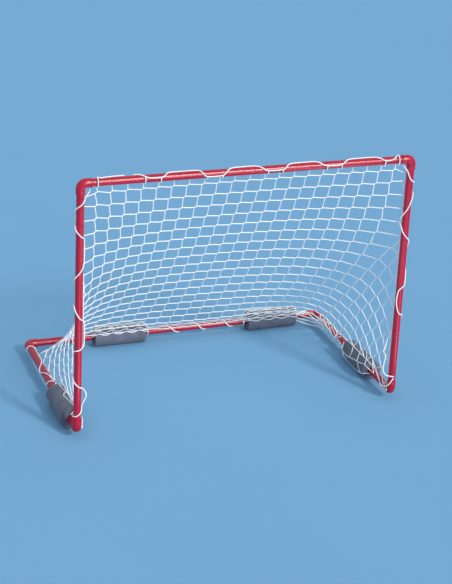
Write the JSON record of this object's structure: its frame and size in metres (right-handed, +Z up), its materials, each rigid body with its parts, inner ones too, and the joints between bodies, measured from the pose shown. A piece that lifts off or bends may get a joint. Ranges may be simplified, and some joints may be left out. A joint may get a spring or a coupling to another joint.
{
  "type": "water polo goal",
  "caption": "Floating pool goal: a pipe loop with elbows, foam tube floats on its lower rails, and a laced square-mesh net sloping from the crossbar to the rear rail.",
  "frame": {"origin": "on the ground under the middle of the whole part's box, with the part standing on its floats", "axes": "+X along the crossbar to the right as seen from in front of the mouth, +Y from the mouth to the rear rail, +Z up"},
  "size_m": [1.2684, 0.7768, 0.9567],
  "materials": {
    "pipe": "gloss",
    "elbow": "gloss",
    "foam": "matte",
    "net": "matte",
    "lacing": "matte"
  },
  "bodies": {
    "frame": {"crossbar": "pipe", "left_post": "pipe", "right_post": "pipe", "left_side_rail": "pipe", "right_side_rail": "pipe", "rear_rail": "pipe", "top_left_elbow": "elbow", "top_right_elbow": "elbow", "front_left_elbow": "elbow", "front_right_elbow": "elbow", "rear_left_elbow": "elbow", "rear_right_elbow": "elbow", "net": "net", "crossbar_lacing": "lacing", "left_post_lacing": "lacing", "right_post_lacing": "lacing", "left_side_lacing": "lacing", "right_side_lacing": "lacing", "rear_rail_lacing": "lacing"},
    "rear_left_tube": {"rear_left_float": "foam"},
    "rear_right_tube": {"rear_right_float": "foam"},
    "left_side_tube": {"left_side_float": "foam"},
    "right_side_tube": {"right_side_float": "foam"}
  },
  "joints": [
    {"name": "rear_left_float_turn", "type": "hinge", "parent": "frame", "child": "rear_left_tube", "pos_m": [-0.23492, 0.35038, 0.038], "axis": [1, 0, 0], "continuous": true},
    {"name": "rear_right_float_turn", "type": "hinge", "parent": "frame", "child": "rear_right_tube", "pos_m": [0.39591, 0.35038, 0.038], "axis": [1, 0, 0], "continuous": true},
    {"name": "left_side_float_turn", "type": "hinge", "parent": "frame", "child": "left_side_tube", "pos_m": [-0.59625, -0.18674, 0.038], "axis": [0, 1, 0], "continuous": true},
    {"name": "right_side_float_turn", "type": "hinge", "parent": "frame", "child": "right_side_tube", "pos_m": [0.59625, -0.0953, 0.038], "axis": [0, 1, 0], "continuous": true}
  ]
}
